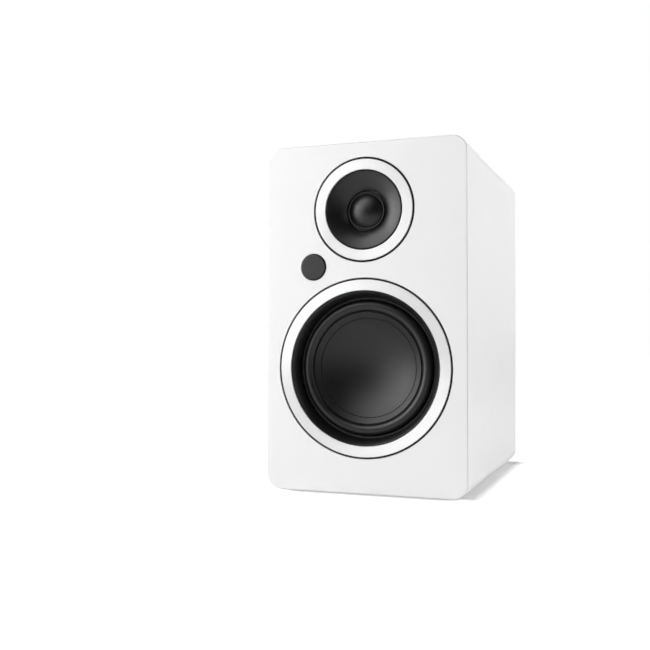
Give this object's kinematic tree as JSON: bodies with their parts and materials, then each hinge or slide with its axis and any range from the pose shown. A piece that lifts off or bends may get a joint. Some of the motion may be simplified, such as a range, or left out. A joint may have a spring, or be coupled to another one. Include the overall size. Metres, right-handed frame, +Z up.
{
  "type": "bookshelf speaker",
  "caption": "White two-way bookshelf speaker with ringed woofer and horn-loaded dome, front button, rear port and built-in amplifier.",
  "frame": {"origin": "under the middle of the speaker, on the surface its feet stand on", "axes": "+Z up, +X to the right of someone facing the baffle, -Y out of the baffle towards the listener"},
  "size_m": [0.175, 0.2718, 0.2955],
  "materials": {
    "cabinet_white": "white satin lacquer on board",
    "rear_white": "white matt foil on board",
    "white_metal": "turned and satin silver-white",
    "black_plastic": "fine matt moulding",
    "black_rubber": "soft satin",
    "cone_black": "matt fibre-filled cone",
    "dome_silk": "coated woven silk",
    "spider_cloth": "resin-dipped cloth",
    "wadding": "loose polyester",
    "steel": "zinc plated",
    "ferrite": "sintered, matt",
    "copper": "enamelled wire",
    "brass": "gold plated",
    "board": "solder mask",
    "smoked_window": "satin smoked plastic",
    "basket_paint": "black powder coat",
    "plate_paint": "black powder coat",
    "winding_tape": "polyester tape over an iron-cored winding",
    "red_plastic": "gloss moulding",
    "post_black_plastic": "gloss moulding"
  },
  "bodies": {
    "cabinet": {"cabinet_sleeve": "cabinet_white", "front_baffle": "cabinet_white", "rear_panel": "rear_white", "foot_front_left": "black_rubber", "foot_front_right": "black_rubber", "foot_rear_left": "black_rubber", "foot_rear_right": "black_rubber", "port_tube": "black_plastic", "damping_pad_left": "wadding", "damping_pad_right": "wadding", "grille_magnet_lower_left": "steel", "grille_magnet_lower_right": "steel", "grille_magnet_upper_left": "steel", "grille_magnet_upper_right": "steel", "woofer_gasket": "black_rubber", "woofer_basket": "basket_paint", "woofer_trim_ring": "white_metal", "woofer_bezel": "black_plastic", "woofer_surround": "black_rubber", "woofer_spider": "spider_cloth", "woofer_top_plate": "steel", "woofer_magnet": "ferrite", "woofer_yoke": "steel", "woofer_screw_1": "steel", "woofer_screw_2": "steel", "woofer_screw_3": "steel", "woofer_screw_4": "steel", "tweeter_waveguide": "black_plastic", "tweeter_trim_ring": "white_metal", "tweeter_mount_ring": "black_plastic", "tweeter_surround": "black_rubber", "tweeter_top_plate": "steel", "tweeter_magnet": "ferrite", "tweeter_yoke": "steel", "button_housing": "black_plastic", "button_return_dome": "black_rubber", "button_switch": "black_plastic", "sensor_board": "board", "amp_plate": "plate_paint", "amp_enclosure": "black_plastic", "amp_board": "board", "power_transformer": "winding_tape", "volume_encoder": "steel", "power_switch_housing": "black_plastic", "mains_inlet": "black_plastic", "rca_inputs": "black_plastic", "optical_input": "black_plastic", "post_red": "brass", "post_black": "brass"},
    "woofer_cone": {"woofer_cone": "cone_black", "woofer_voice_coil": "copper"},
    "tweeter_dome": {"tweeter_dome": "dome_silk", "tweeter_voice_coil": "copper"},
    "front_button": {"front_button": "smoked_window"},
    "volume_knob": {"volume_knob": "black_plastic"},
    "power_rocker": {"power_rocker": "black_plastic"},
    "red_washer": {"post_washer_red": "brass"},
    "red_nut": {"post_nut_red": "red_plastic"},
    "black_washer": {"post_washer_black": "brass"},
    "black_nut": {"post_nut_black": "post_black_plastic"}
  },
  "joints": [
    {"name": "woofer_excursion", "type": "slide", "parent": "cabinet", "child": "woofer_cone", "axis": [0, -1, 0], "range_m": [-0.004, 0.004], "stiffness_N_per_m": 1250, "deforming": ["woofer_surround", "woofer_spider"]},
    {"name": "tweeter_excursion", "type": "slide", "parent": "cabinet", "child": "tweeter_dome", "axis": [0, -1, 0], "range_m": [-0.0003, 0.0003], "stiffness_N_per_m": 600, "deforming": ["tweeter_surround"]},
    {"name": "front_button_press", "type": "slide", "parent": "cabinet", "child": "front_button", "axis": [0, 1, 0], "range_m": [0, 0.0008], "stiffness_N_per_m": 900, "deforming": ["button_return_dome"]},
    {"name": "volume_turn", "type": "hinge", "parent": "cabinet", "child": "volume_knob", "pos_m": [0.034, 0.125, 0.1625], "axis": [0, 1, 0], "continuous": true},
    {"name": "power_rock", "type": "hinge", "parent": "cabinet", "child": "power_rocker", "pos_m": [0.034, 0.1149, 0.0475], "axis": [1, 0, 0], "range_deg": [0, 16]},
    {"name": "red_post_travel", "type": "slide", "parent": "cabinet", "child": "red_washer", "axis": [0, 1, 0], "range_m": [0, 0.0028]},
    {"name": "red_post_turn", "type": "hinge", "parent": "red_washer", "child": "red_nut", "pos_m": [-0.014, 0.125, 0.1005], "axis": [0, 1, 0], "range_deg": [0, 1440]},
    {"name": "black_post_travel", "type": "slide", "parent": "cabinet", "child": "black_washer", "axis": [0, 1, 0], "range_m": [0, 0.0028]},
    {"name": "black_post_turn", "type": "hinge", "parent": "black_washer", "child": "black_nut", "pos_m": [0.014, 0.125, 0.1005], "axis": [0, 1, 0], "range_deg": [0, 1440]}
  ],
  "couplings": [
    {"joint": "red_post_travel", "follows": "red_post_turn", "m_per_rad": 0.0001114},
    {"joint": "black_post_travel", "follows": "black_post_turn", "m_per_rad": 0.0001114}
  ]
}
